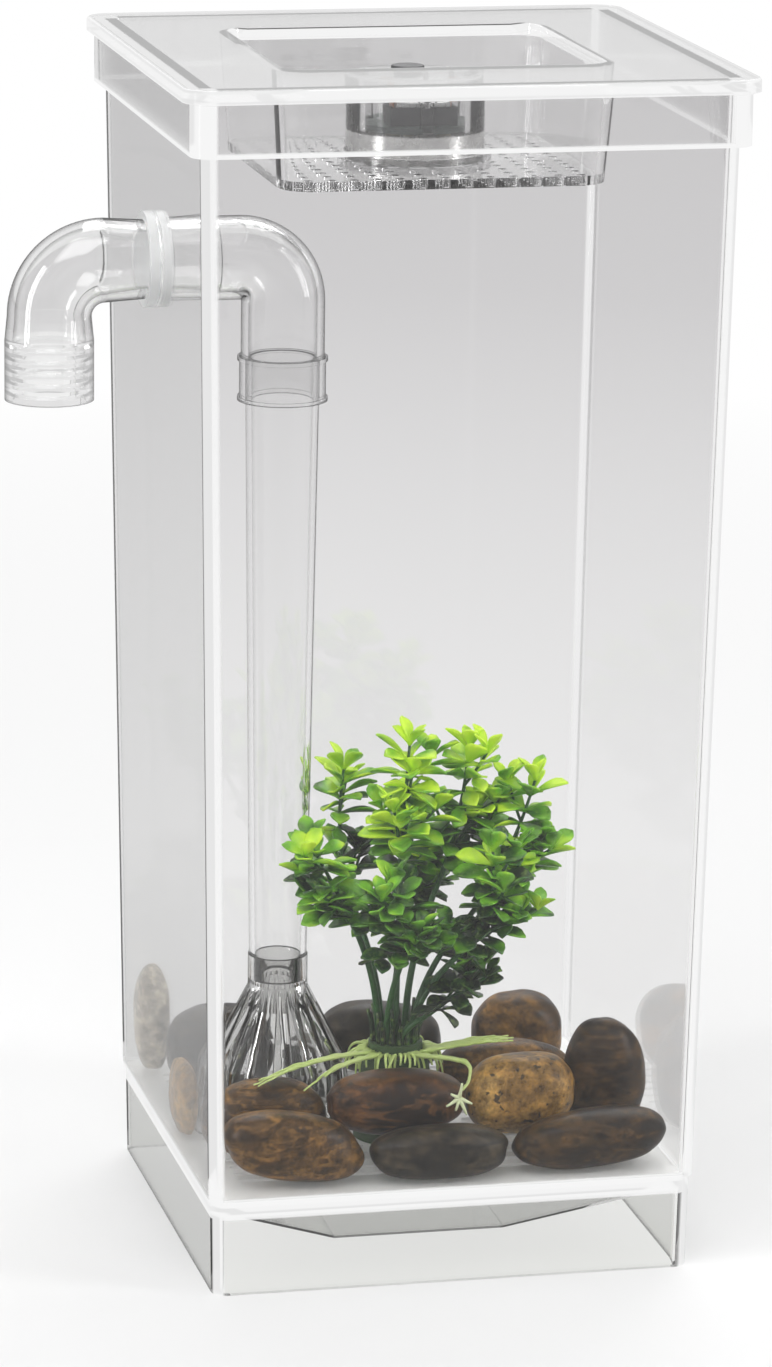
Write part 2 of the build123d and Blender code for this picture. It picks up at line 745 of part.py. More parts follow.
pebble("stone_right", (38.6, -19.5, 12.7), (8.8, 6.2, 12.6))
pebble("stone_back_right", (30.0, 20.0, 9.9), (10.0, 8.0, 9.8))
pebble("stone_middle", (22.0, -6.2, 9.0), (16.4, 6.4, 8.5), tilt=10)
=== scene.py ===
# %% [markdown]
# # A clear tower fish tank
#
# The tank is a clear plastic tower with a siphon pipe through its left wall. A lid with a
# small lamp closes it, and a bed of stones holds a plastic plant. The packed model holds the
# real shapes, so this script only dresses them: it gives each piece its finish, and it makes
# the stones, the leaves and the roots again with the detail that a plain solid lacks.

# %% Load the fixed frame
import math
import random

import bmesh
import bpy
from mathutils import Euler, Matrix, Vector, noise
from mathutils.bvhtree import BVHTree


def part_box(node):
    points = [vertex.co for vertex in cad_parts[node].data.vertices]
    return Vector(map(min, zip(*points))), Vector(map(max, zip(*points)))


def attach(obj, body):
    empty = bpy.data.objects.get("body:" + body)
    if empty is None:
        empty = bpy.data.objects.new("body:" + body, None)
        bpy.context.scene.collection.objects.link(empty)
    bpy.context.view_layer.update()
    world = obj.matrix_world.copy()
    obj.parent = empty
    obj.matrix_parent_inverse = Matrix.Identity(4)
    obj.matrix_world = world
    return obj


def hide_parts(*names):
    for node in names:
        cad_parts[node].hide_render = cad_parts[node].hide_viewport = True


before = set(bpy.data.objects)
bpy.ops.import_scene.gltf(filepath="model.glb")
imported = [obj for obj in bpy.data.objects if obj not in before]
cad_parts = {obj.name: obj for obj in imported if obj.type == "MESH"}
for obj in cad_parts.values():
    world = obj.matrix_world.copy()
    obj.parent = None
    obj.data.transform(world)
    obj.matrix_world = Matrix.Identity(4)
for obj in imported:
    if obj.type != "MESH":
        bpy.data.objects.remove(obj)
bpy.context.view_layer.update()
scene = bpy.context.scene
mm = 0.001

# %% [markdown]
# ## The camera
#
# The photograph was taken from a little to the left and above, with a long lens, so upright
# edges stay nearly parallel. A short lens close by could fill the picture as well, but it
# would spread the tank's corners apart. A long lens needs a camera that stands well back.

# %% Camera
CAMERA_AZIMUTH = -13.0
CAMERA_ELEVATION = 13.85
CAMERA_DISTANCE = 1.24046
CAMERA_ROLL = 0.72
CAMERA_TARGET = Vector((-0.0041, 0.0, 0.1131))
FOCAL_PIXELS = 6020.4
PHOTO_HEIGHT = 1367


def turned_back(azimuth, elevation):
    """The direction from the target to a camera or a lamp, from two angles in degrees."""
    a, e = math.radians(azimuth), math.radians(elevation)
    return Vector((math.sin(a) * math.cos(e), -math.cos(a) * math.cos(e), math.sin(e)))


camera_data = bpy.data.cameras.new("camera")
camera_data.sensor_width = 36.0
camera_data.lens = FOCAL_PIXELS * camera_data.sensor_width / PHOTO_HEIGHT
camera_data.clip_start = 0.05
camera = bpy.data.objects.new("camera", camera_data)
scene.collection.objects.link(camera)
back = turned_back(CAMERA_AZIMUTH, CAMERA_ELEVATION)
camera.location = CAMERA_TARGET + back * CAMERA_DISTANCE
aim = (-back).to_track_quat("-Z", "Y")
camera.rotation_mode = "QUATERNION"
camera.rotation_quaternion = aim @ Euler((0, 0, math.radians(CAMERA_ROLL))).to_quaternion()
scene.camera = camera
scene.view_settings.view_transform = "Standard"
print("camera at", [round(v, 3) for v in camera.location], "lens", round(camera_data.lens, 1))

# %% [markdown]
# ## A way to write shader maths
#
# Shader maths could be a long list of nodes and links, but it is easier to read as sums and
# products. A `Value` wraps a socket and turns `a * b` into a Math node. Each operator has its
# reflected form too, so that `1 - mask` works as well as `mask - 1`.

# %% A number that does its own maths
SOFT_EDGE = 0.3 * mm


class Value:
    """A number socket on which ordinary maths works."""

    def __init__(self, finish, socket):
        self.finish = finish
        self.socket = socket

    def maths(self, operation, *values):
        return self.finish.maths(operation, *values)

    def __add__(self, other):
        return self.maths("ADD", self, other)

    def __radd__(self, other):
        return self.maths("ADD", other, self)

    def __sub__(self, other):
        return self.maths("SUBTRACT", self, other)

    def __rsub__(self, other):
        return self.maths("SUBTRACT", other, self)

    def __mul__(self, other):
        return self.maths("MULTIPLY", self, other)

    def __rmul__(self, other):
        return self.maths("MULTIPLY", other, self)

    def __truediv__(self, other):
        return self.maths("DIVIDE", self, other)

    def __rtruediv__(self, other):
        return self.maths("DIVIDE", other, self)

    def __abs__(self):
        return self.maths("ABSOLUTE", self)

    def root(self):
        return self.maths("SQRT", self)

    def smaller(self, other):
        return self.maths("MINIMUM", self, other)

    def larger(self, other):
        return self.maths("MAXIMUM", self, other)

    def between(self, low, high):
        """0 below low, 1 above high and a straight ramp between."""
        return self.finish.node("MapRange", {"clamp": True},
                                {"Value": self, "From Min": low, "From Max": high})

    def above(self, level, soft=SOFT_EDGE):
        """1 above a level and 0 below it, with a soft edge."""
        return self.between(level, level + soft)

    def below(self, level, soft=SOFT_EDGE):
        """1 below a level and 0 above it, with a soft edge."""
        return 1 - self.between(level, level + soft)


print("a value knows", len([n for n in vars(Value) if n.startswith("__r")]), "reflected forms")

# %% [markdown]
# ## One place that makes nodes
#
# A `Finish` owns the node tree of one material, or of the room. Its `node` method makes any
# node from a type, its settings and what goes into its sockets, so no other line has to
# create a node and link it by hand. The rest of its methods are short names for common ones.

# %% A material that makes its own nodes


class Finish:
    """One node tree, with one method that makes its nodes."""

    def __init__(self, name, tree=None):
        if tree is None:
            self.material = bpy.data.materials.new(name)
            self.material.use_nodes = True
            tree = self.material.node_tree
        self.tree = tree
        tree.nodes.clear()

    def node(self, kind, settings=None, values=None, out=0):
        made = self.tree.nodes.new("ShaderNode" + kind)
        for key, setting in (settings or {}).items():
            if key == "stops":
                self.set_stops(made.color_ramp, setting)
            else:
                setattr(made, key, setting)
        for key, value in (values or {}).items():
            self.fill(made.inputs[key], value)
        outputs = [s for s in made.outputs if s.enabled]
        chosen = made.outputs[out] if isinstance(out, str) else outputs[out] if outputs else None
        return Value(self, chosen)

    def fill(self, socket, value):
        if isinstance(value, Value):
            self.tree.links.new(value.socket, socket)
        else:
            socket.default_value = value

    @staticmethod
    def set_stops(ramp, stops):
        while len(ramp.elements) < len(stops):
            ramp.elements.new(0.5)
        for element, (place, colour) in zip(ramp.elements, stops):
            element.position = place
            element.color = (*colour, 1.0)

    def outputs(self, kind, names, values=None):
        """Several outputs of one node, such as the three parts of a place."""
        first = self.node(kind, {}, values)
        return [Value(self, first.socket.node.outputs[name]) for name in names]

    def maths(self, operation, *values):
        return self.node("Math", {"operation": operation}, dict(enumerate(values)))

    def ramp(self, value, stops):
        return self.node("ValToRGB", {"stops": stops}, {"Fac": value})

    def colour_mix(self, factor, first, second, blend="MIX"):
        """A mix of two colours. Sockets 0, 6 and 7 are the factor and the two colours."""
        made = self.tree.nodes.new("ShaderNodeMix")
        made.data_type = "RGBA"
        made.blend_type = blend
        self.fill(made.inputs[0], factor)
        for index, colour in ((6, first), (7, second)):
            self.fill(made.inputs[index], colour if isinstance(colour, Value) else (*colour, 1.0))
        return Value(self, made.outputs[2])

    def shader_mix(self, factor, first, second):
        return self.node("MixShader", {}, {0: factor, 1: first, 2: second})

    def axes(self):
        """The X, Y and Z of the object's own coordinates."""
        return self.outputs("SeparateXYZ", "XYZ", {"Vector": self.node("TexCoord", out="Object")})

    def place(self, scale=(1, 1, 1), turn=(0, 0, 0), shift=(0, 0, 0)):
        """Object coordinates, scaled, turned and moved."""
        coordinate = self.node("TexCoord", out="Object")
        return self.node("Mapping", {}, {"Vector": coordinate, "Scale": scale, "Rotation": turn,
                                         "Location": shift})

    def noise(self, place, scale, detail=3.0, roughness=0.5, distortion=0.0):
        return self.node("TexNoise", {}, {"Vector": place, "Scale": scale, "Detail": detail,
                                          "Roughness": roughness, "Distortion": distortion})

    def bump(self, height, strength, distance):
        return self.node("Bump", {}, {"Height": height, "Strength": strength,
                                      "Distance": distance})

    def lets_light_by(self, shader, grey):
        """The same shader, but a ray on its way to a lamp passes with a share of its light."""
        gap = self.node("BsdfTransparent", {}, {"Color": (grey, grey, grey, 1.0)})
        return self.shader_mix(self.node("LightPath", out="Is Shadow Ray"), shader, gap)

    def surface(self, shader):
        kind = "OutputMaterial" if hasattr(self, "material") else "OutputWorld"
        self.node(kind, {}, {"Surface": shader})
        return getattr(self, "material", None)


print("finish helpers ready")

# %% [markdown]
# ## Studio: a white room
#
# Clear plastic shows what lies behind it and what it mirrors, so those are chosen apart. The
# camera itself sees plain white. What is seen through the plastic is a pale grey backdrop,
# and that makes the panes read as panes. What the plastic mirrors is a dim room with a
# bright ceiling, so no veil of light lies over the stones. A photograph of a studio could
# light the scene too, but plain shader maths keeps every level in sight.

# %% Room
ROOM_LIGHT = 0.45
MIRROR_LOW = 0.14
MIRROR_HIGH = 1.0
CEILING_EDGE = 0.22
BACKDROP_LIGHT = 0.8
RAYS = ["Is Camera Ray", "Is Glossy Ray", "Is Transmission Ray"]
world = bpy.data.worlds.new("white_room")
scene.world = world
world.use_nodes = True
room = Finish("white_room", world.node_tree)
up = room.outputs("SeparateXYZ", "Z", {"Vector": room.node("TexCoord", out="Generated")})[0]
is_camera, is_mirror, is_through = room.outputs("LightPath", RAYS)


def sky(strength):
    return room.node("Background", {}, {"Color": (1, 1, 1, 1), "Strength": strength})


ceiling = up.between(0.0, CEILING_EDGE) * (MIRROR_HIGH - MIRROR_LOW) + MIRROR_LOW
mirrored = room.shader_mix(is_mirror, sky(ROOM_LIGHT), sky(ceiling))
through = room.shader_mix(is_through, mirrored, sky(BACKDROP_LIGHT))
room.surface(room.shader_mix(is_camera, through, sky(1.0)))
print("the room lights with", ROOM_LIGHT)

# %% [markdown]
# ## The floor
#
# A ray that has passed clear plastic counts as a mirror ray too, so the shader asks first
# whether a ray has come through. To the camera the floor is mostly paint, which keeps the
# tank's soft shadow, and it glows more and more with distance, so that it ends in plain
# white. Through the panes it is a backdrop that darkens away from the tank.

# %% Floor
FLOOR_SIZE = 12.0
FLOOR_COLOUR = (0.77, 0.77, 0.77, 1.0)
FLOOR_GLOW = 0.12
GLOW_REACH = (0.3, 0.9)
MIRROR_BEHIND = 0.5
MIRROR_REACH = (-0.1, 0.3)
BACKDROP_GLOW = 0.85
BACKDROP_NEAR = (0.9, 0.9, 0.895)
BACKDROP_FAR = (0.68, 0.672, 0.677)
BACKDROP_REACH = (0.25, 1.1)


def floor_finish():
    f = Finish("floor_pale")
    looked, mirror, passed = f.outputs("LightPath", RAYS)
    x, y, _ = f.axes()
    away = (x * x + y * y).root()
    backdrop = f.colour_mix(away.between(*BACKDROP_REACH), BACKDROP_NEAR, BACKDROP_FAR)
    paint = f.node("BsdfDiffuse", {}, {"Color": FLOOR_COLOUR})
    glow = f.node("Emission", {}, {"Color": f.colour_mix(passed, (1, 1, 1), backdrop)})
    dim_grey = f.colour_mix(y.between(*MIRROR_REACH), (MIRROR_LOW,) * 3, (MIRROR_BEHIND,) * 3)
    dim = f.node("Emission", {}, {"Color": dim_grey})
    far_white = away.between(*GLOW_REACH) * (1 - FLOOR_GLOW) + FLOOR_GLOW
    seen = f.shader_mix(looked * far_white + passed * BACKDROP_GLOW, paint, glow)
    return f.surface(f.shader_mix(mirror * (1 - passed), seen, dim))


floor_mesh = bpy.data.meshes.new("floor")
half = FLOOR_SIZE / 2
floor_mesh.from_pydata([(-half, -half, 0), (half, -half, 0), (half, half, 0), (-half, half, 0)],
                       [], [(0, 1, 2, 3)])
floor = bpy.data.objects.new("floor", floor_mesh)
scene.collection.objects.link(floor)
floor_mesh.materials.append(floor_finish())
print("floor", FLOOR_SIZE, "m wide")

# %% [markdown]
# ## Soft lamps
#
# One wide lamp from above gives the main light. Two tall narrow ones draw the long bright
# streaks down the pipe and its bends, and one behind throws a faint shadow forwards. Point
# lamps would be simpler, but their small hard sparks don't look like a studio.

# %% Lamps
LAMPS = {
    "lamp_overhead": (-35, 62, 1.1, (0.7, 0.7), 5.4),
    "lamp_left_strip": (-75, 18, 1.0, (0.12, 0.8), 3.8),
    "lamp_right_strip": (60, 22, 1.0, (0.16, 0.8), 3.8),
    "lamp_back": (160, 50, 1.2, (0.8, 0.8), 6.4),
}


def soft_lamp(name, azimuth, elevation, distance, size, watts):
    """A soft lamp of a width and a height that faces the tank."""
    data = bpy.data.lights.new(name, "AREA")
    data.shape = "RECTANGLE"
    data.size, data.size_y = size
    data.energy = watts
    lamp = bpy.data.objects.new(name, data)
    scene.collection.objects.link(lamp)
    toward = turned_back(azimuth, elevation)
    lamp.location = CAMERA_TARGET + toward * distance
    lamp.rotation_mode = "QUATERNION"
    lamp.rotation_quaternion = (-toward).to_track_quat("-Z", "Y")


for name, plan in LAMPS.items():
    soft_lamp(name, *plan)
print("soft lamps:", len(LAMPS))

# %% [markdown]
# ## Clear plastic
#
# The shell, the lid and the pipe are clear acrylic. Plain see-through shading could do for a
# thin pane, but a glass shader bends what is behind it, and that draws the lines at corners
# and bends. It blocks lamps, though, and a closed glass box would be dark inside. So a ray on
# its way to a lamp meets a plain transparent shader, and the stones and the plant are lit.

# %% Clear plastic finish
ACRYLIC_IOR = 1.49
ACRYLIC_SCUFF = 35.0
# The painted glow along lit edges: its strength and its share of the finish.
EDGE_LIGHT = 0.93
EDGE_SHARE = 0.85
# The rims' painted shade: the glancing views that it covers, and its near-black colour.
RIM_SHADE_REACH = (0.52, 0.93)
RIM_PAINTED_SHADE = (0.02, 0.02, 0.02, 1.0)


def clear_finish(name, low_tint, high_tint=None, roughness=0.02, shadow=0.9, height=0.25,
                 rim=0.0, edges=None):
    """Clear plastic with a tint that may change upwards, painted shade on its rims and painted
    glow on its edges.
    """
    f = Finish(name)
    x, y, z = f.axes()
    tint = f.colour_mix(z.between(0.0, height), low_tint, high_tint or low_tint)
    scuff = f.noise(f.place(), ACRYLIC_SCUFF, detail=4.0)
    shader = f.node("BsdfPrincipled", {}, {
        "Base Color": tint, "Roughness": scuff * (roughness * 0.6) + roughness * 0.7,
        "IOR": ACRYLIC_IOR, "Transmission Weight": 1.0})
    # Painted shade: a near-black share on the rims at glancing angles stands in for the dark room
    # that the real pipe bends into view.
    if rim:
        facing = f.node("LayerWeight", {}, {"Blend": 0.5}, out="Facing")
        dark = f.node("BsdfDiffuse", {}, {"Color": RIM_PAINTED_SHADE})
        shader = f.shader_mix(facing.between(*RIM_SHADE_REACH) * rim, shader, dark)
    # Painted glow: white light given off in the masked strips, in place of the light that the
    # real corners and rims gather.
    if edges:
        lit = f.node("Emission", {}, {"Color": (1, 1, 1, 1), "Strength": EDGE_LIGHT})
        shader = f.shader_mix(edges(x, y, z) * EDGE_SHARE, shader, lit)
    return f.surface(f.lets_light_by(shader, shadow))


print("clear plastic bends light by", ACRYLIC_IOR)

# %% [markdown]
# ## Lit edges
#
# The corners and rims of moulded acrylic gather light from all its faces and shine white.
# Tracing that light would take thousands of rays for each dot of the picture. Masks worked
# out from the place on the piece mark the same strips, and the finish glows there.

# %% Lit edges of the shell, the lid and the spout
SHELL_FOOT = 99.9 * mm
SHELL_TOP = 107.7 * mm
SHELL_CORNER = (0.942, 0.954)
BELT = 19.4 * mm
BELT_BELOW = 3.6 * mm
BELT_ABOVE = 0.5 * mm
LID_CORNER = 6.0 * mm
LID_RIM = 0.6 * mm
LID_FACE = 2.3 * mm
LID_FACE_LIGHT = 0.3
SKIRT_DEPTH = 10.6 * mm
SKIRT_BEND = 6.3 * mm
SKIRT_WALL = 4.0 * mm
SKIRT_LINE = 0.7 * mm
OUTLET_LENGTH = 11 * mm
OUTLET_FADE = 4 * mm
OUTLET_LIGHT = 0.16
tank_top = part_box("tank_shell")[1].z
lid_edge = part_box("lid")[1].x
spout_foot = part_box("spout")[0].z


def shell_edge_glow(x, y, z):
    """Painted glow in strips down the four leaning corners and round the belt."""
    half_width = z * ((SHELL_TOP - SHELL_FOOT) / 2 / tank_top) + SHELL_FOOT / 2
    corners = (abs(x).smaller(abs(y)) / half_width).between(*SHELL_CORNER)
    return corners.larger(z.above(BELT - BELT_BELOW) * z.below(BELT + BELT_ABOVE))


def lid_edge_glow(x, y, z):
    """Painted glow in strips round the plate's rim, down the skirt's corners and along its foot,
    and fainter over the plate's face.
    """
    past_x = (abs(x) - (lid_edge - LID_CORNER)).larger(0.0)
    past_y = (abs(y) - (lid_edge - LID_CORNER)).larger(0.0)
    from_bend = (past_x * past_x + past_y * past_y).root()
    rim = from_bend.above(LID_CORNER - LID_RIM, 0.2 * mm)
    # A fainter painted glow over the plate's face.
    face = z.above(tank_top + LID_FACE) * LID_FACE_LIGHT
    skirt = z.below(tank_top - 0.4 * mm, 0.4 * mm)
    corner = abs(x).smaller(abs(y)).above(lid_edge - SKIRT_BEND, 0.4 * mm) * skirt
    wall = abs(x).larger(abs(y)).above(lid_edge - SKIRT_WALL, 0.4 * mm)
    foot = wall * z.below(tank_top - SKIRT_DEPTH + SKIRT_LINE)
    return rim.larger(corner).larger(foot).larger(face)


def outlet_glow(x, y, z):
    """A soft painted glow over the ridges of the spout's end."""
    return z.below(spout_foot + OUTLET_LENGTH, OUTLET_FADE) * OUTLET_LIGHT


print("the tank is", round(tank_top / mm, 1), "mm high and the lid",
      round(2 * lid_edge / mm, 1), "mm wide")

# %% [markdown]
# ## The clear pieces
#
# The lamp's cup and cap are so thin that bending their background would only blur the works
# inside, so they get a see-through finish with a shine at glancing angles, and foil low down
# in the cup throws the light back. The rest of the clear pieces take the acrylic, with painted
# shade on the rims of the bends, where the real one looks darker, and a darker ribbed foot.

# %% Thin plastic, and dressing the clear pieces
CUP_SCUFF = 300.0
CUP_CLEAR = (0.93, 0.93, 0.93, 1.0)
FOIL_DARK = (0.5, 0.5, 0.5)
FOIL_LIGHT = (0.95, 0.94, 0.92)
FOIL_SHARE = 0.8
FOIL_GAP = 0.5 * mm


def thin_finish(name, foil_top=None):
    """Thin clear plastic that bends nothing, silvered inside below a height."""
    f = Finish(name)
    z = f.axes()[2]
    scuff = f.noise(f.place(), CUP_SCUFF, detail=3.0)
    gap = f.node("BsdfTransparent", {}, {"Color": CUP_CLEAR})
    shine = f.node("BsdfGlossy", {}, {"Color": (1, 1, 1, 1), "Roughness": scuff * 0.1 + 0.02})
    edge = f.node("LayerWeight", {}, {"Blend": 0.2}, out="Fresnel")
    shader = f.shader_mix(edge, gap, shine)
    if foil_top:
        foil = f.node("BsdfPrincipled", {}, {
            "Base Color": f.colour_mix(scuff, FOIL_DARK, FOIL_LIGHT), "Metallic": 1.0,
            "Roughness": scuff * 0.3 + 0.1})
        shader = f.shader_mix(z.below(foil_top) * FOIL_SHARE, shader, foil)
    return f.surface(shader)


def dress(names, material):
    """Gives CAD nodes a finish in place of their plain one."""
    for name in names:
        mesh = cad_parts[name].data
        mesh.materials.clear()
        mesh.materials.append(material)


PIPE_CLEAR = (0.98, 0.98, 0.98)
CLEAR_PIECES = {
    "tank_shell": clear_finish("clear_shell", (0.93, 0.935, 0.915), (0.975, 0.973, 0.975),
                               roughness=0.012, shadow=0.7, height=0.03, edges=shell_edge_glow),
    "lid": clear_finish("clear_lid", (0.99, 0.99, 0.99), edges=lid_edge_glow),
    "spout": clear_finish("clear_spout", PIPE_CLEAR, rim=0.75, edges=outlet_glow),
    "inner_elbow": clear_finish("clear_pipe", PIPE_CLEAR, rim=0.75),
    "riser_tube": clear_finish("clear_riser", PIPE_CLEAR, rim=0.3),
    "strainer_foot": clear_finish("clear_foot", (0.72, 0.72, 0.71), rim=0.6),
    "lamp_body": thin_finish("clear_cup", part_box("circuit_board")[0].z - FOIL_GAP),
    "lamp_cap": thin_finish("clear_cap"),
}
for name, material in CLEAR_PIECES.items():
    dress([name], material)
print("clear pieces dressed:", len(CLEAR_PIECES))

# %% [markdown]
# ## Milky pieces
#
# The bushing round the pipe and the lamp's seal are soft frosted rubber, and the tray under
# the stones is milky plastic. A white paint would look dead there. A rough glass shader lets
# light in and spreads it, and a little less of it in the tray keeps the tray's floor white.

# %% Milky finishes
MILKY_IOR = 1.41
MILKY_GRAIN = 900.0
MILKY_SHADOW = 0.7


def frosted_finish(name, colour, roughness=0.45, through=0.75):
    """Milky plastic or rubber: light gets in and comes out blurred."""
    f = Finish(name)
    grain = f.noise(f.place(), MILKY_GRAIN, detail=3.0)
    shader = f.node("BsdfPrincipled", {}, {
        "Base Color": (*colour, 1.0), "Roughness": grain * 0.15 + roughness,
        "IOR": MILKY_IOR, "Transmission Weight": through,
        "Normal": f.bump(grain, 0.2, 0.2 * mm)})
    return f.surface(f.lets_light_by(shader, MILKY_SHADOW))


dress(["gravel_tray"], frosted_finish("milky_tray", (0.96, 0.96, 0.95), 0.3, through=0.4))
dress(["wall_bushing", "lamp_seal"], frosted_finish("frosted_rubber", (0.95, 0.955, 0.955)))
print("tray, bushing and seal dressed")

# %% [markdown]
# ## Small solid parts
#
# The lamp's works are black plastic, a dark board, steel button cells and copper contacts,
# and the plant stands in a dark green base. One flat colour each would be enough from afar,
# but a little grain breaks up a highlight as it does on a real part, so one finish does it
# for all of them with two close colours, a roughness and a metal share.

# %% Solid finishes
CLOUDS_PER_GRAIN = 12


def plain_finish(name, dark, light, roughness, metallic=0.0, grain_scale=1500.0, bump=0.15):
    """A solid finish that wanders between two close colours."""
    f = Finish(name)
    place = f.place()
    grain = f.noise(place, grain_scale, detail=2.0)
    cloud = f.noise(place, grain_scale / CLOUDS_PER_GRAIN, detail=3.0)
    shader = f.node("BsdfPrincipled", {}, {
        "Base Color": f.colour_mix(cloud, dark, light), "Metallic": metallic,
        "Roughness": grain * 0.2 + roughness, "Normal": f.bump(grain, bump, 0.1 * mm)})
    return f.surface(shader)


dress(["lamp_button", "lamp_switch", "cell_holder"],
      plain_finish("black_plastic", (0.012, 0.012, 0.014), (0.03, 0.03, 0.033), 0.35))
dress(["circuit_board"], plain_finish("board", (0.02, 0.035, 0.03), (0.05, 0.07, 0.06), 0.4))
dress(["lamp_cells"], plain_finish("cell_steel", (0.5, 0.5, 0.5), (0.7, 0.7, 0.7), 0.2, 1.0))
dress(["cap_screws"], plain_finish("screw_steel", (0.4, 0.4, 0.4), (0.6, 0.6, 0.6), 0.25, 1.0))
dress(["cell_contacts"], plain_finish("copper", (0.62, 0.3, 0.18), (0.8, 0.45, 0.3), 0.25, 1.0))
dress(["light_diodes"], plain_finish("diode", (0.75, 0.72, 0.55), (0.9, 0.88, 0.75), 0.15))
dress(["plant_base"], plain_finish("plant_base_green", (0.02, 0.05, 0.015), (0.05, 0.1, 0.03),
                                   0.45, grain_scale=700.0))
print("lamp parts and plant base dressed")

# %% [markdown]
# ## Stones
#
# River pebbles are worn ovals with flats and dents. They could be sculpted by hand, one by
# one. Here each starts as a fine ball whose points are cast onto the pebble's own solid, so
# it keeps the place and size that the bed was laid out for. A fuller curve then squares its
# shoulders by a fraction of a millimetre, and smooth noise wears it inwards.

# %% Pebble form
PEBBLE_DETAIL = 5
PEBBLE_WEAR = 0.08
PEBBLE_FULLNESS = 2.45
BROAD_DENTS = 1.1
FINE_DENTS = 2.6


def link(name, mesh, material):
    """A new smooth object at the origin with one finish."""
    obj = bpy.data.objects.new(name, mesh)
    scene.collection.objects.link(obj)
    mesh.materials.append(material)
    mesh.polygons.foreach_set("use_smooth", [True] * len(mesh.polygons))
    return obj


def pebble(node, seed, material):
    """A worn pebble on the solid of a node."""
    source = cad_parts[node].data
    tree = BVHTree.FromPolygons([v.co for v in source.vertices],
                                [p.vertices for p in source.polygons])
    low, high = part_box(node)
    centre, halves = (low + high) / 2, (high - low) / 2
    bm = bmesh.new()
    bmesh.ops.create_icosphere(bm, subdivisions=PEBBLE_DETAIL, radius=1.0)
    shift = Vector((seed * 3.1, seed * 1.7, seed * 2.3))
    for vertex in bm.verts:
        unit = vertex.co.normalized()
        ray = Vector(a * b for a, b in zip(unit, halves)).normalized()
        hit = tree.ray_cast(centre, ray)[0] or centre + ray * min(halves)
        broad = noise.noise(unit * BROAD_DENTS + shift)
        fine = noise.noise(unit * FINE_DENTS - shift)
        wear = PEBBLE_WEAR * (0.5 + 0.7 * broad + 0.3 * fine)
        full = sum(abs(c) ** PEBBLE_FULLNESS for c in unit) ** (-1 / PEBBLE_FULLNESS)
        vertex.co = centre + (hit - centre) * full * (1 - min(max(wear, 0.0), 2 * PEBBLE_WEAR))
    mesh = bpy.data.meshes.new(node + "_worn")
    bm.to_mesh(mesh)
    bm.free()
    obj = link(node + "_worn", mesh, material)
    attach(obj, "tank")
    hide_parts(node)
    return len(mesh.polygons)


print("pebble wear up to", PEBBLE_WEAR)

# %% [markdown]
# ## Stone finishes
#
# The pebbles are polished brown and grey river stones: broad clouds of colour, a finer
# mottle, dark specks, and soft bands in some of them. Painting each one would be slow, so
# noise of several sizes is laid over one another, and a number for each stone turns and
# shifts it all. The gloss is low and uneven.

# %% Stone finish
CLOUD_SCALE = 70.0
BAND_SCALE = 110.0
BAND_SQUEEZE = 3.5
LIGHT_BANDS = (0.52, 0.6)
DARK_BANDS = (0.38, 0.46)
MOTTLE_SCALE = 340.0
SPECK_SCALE = 640.0
GRAIN_SCALE = 1500.0
MOTTLE_TONES = [(0.34, (0.2, 0.17, 0.13)), (0.5, (0.8, 0.78, 0.75)), (0.66, (1.7, 1.6, 1.4))]
MOTTLE_SHARE = 0.95
SPECK_REACH = (0.62, 0.68)
SPECK_COLOUR = (0.02, 0.015, 0.01)
STONE_GLOSS = 0.22
STONE_SHEEN = 0.24


def stone_finish(name, palette, seed, speck, bands):
    """A polished pebble from a dark, a middle and a light colour."""
    f = Finish(name)
    dark, middle, light = palette
    shift = (seed * 0.31, seed * 0.17, seed * 0.23)
    place = f.place(turn=(seed * 0.7, seed * 1.3, seed * 0.4), shift=shift)
    stretched = f.place(scale=(1, 1, BAND_SQUEEZE), turn=(seed * 0.7, 0.35, seed * 0.4),
                        shift=shift)
    cloud = f.noise(place, CLOUD_SCALE, detail=6.0, roughness=0.68, distortion=0.7)
    mottle = f.noise(place, MOTTLE_SCALE, detail=6.0, roughness=0.72)
    grain = f.noise(place, GRAIN_SCALE, detail=3.0, roughness=0.7)
    strata = f.noise(stretched, BAND_SCALE, detail=4.0, roughness=0.6, distortion=1.0)
    colour = f.ramp(cloud, [(0.34, dark), (0.5, middle), (0.68, light)])
    colour = f.colour_mix(strata.between(*LIGHT_BANDS) * bands, colour, light)
    colour = f.colour_mix((1 - strata.between(*DARK_BANDS)) * bands, colour, dark)
    colour = f.colour_mix(MOTTLE_SHARE, colour, f.ramp(mottle, MOTTLE_TONES), "MULTIPLY")
    specks = f.noise(place, SPECK_SCALE, detail=2.0).between(*SPECK_REACH) * speck
    colour = f.colour_mix(specks, colour, SPECK_COLOUR)
    shader = f.node("BsdfPrincipled", {}, {
        "Base Color": colour, "Roughness": mottle * 0.3 + STONE_GLOSS,
        "Specular IOR Level": STONE_SHEEN,
        "Normal": f.bump(mottle * 0.7 + grain * 0.3, 0.22, 0.3 * mm)})
    return f.surface(shader)


print("the mottle is about", round(1000 / MOTTLE_SCALE, 1), "mm across")

# %% [markdown]
# ## The bed of stones
#
# Six palettes cover the bed, each from its dark clouds to its light ones. Every stone has a
# palette, a number that makes its pattern its own, and how many specks and bands it has.

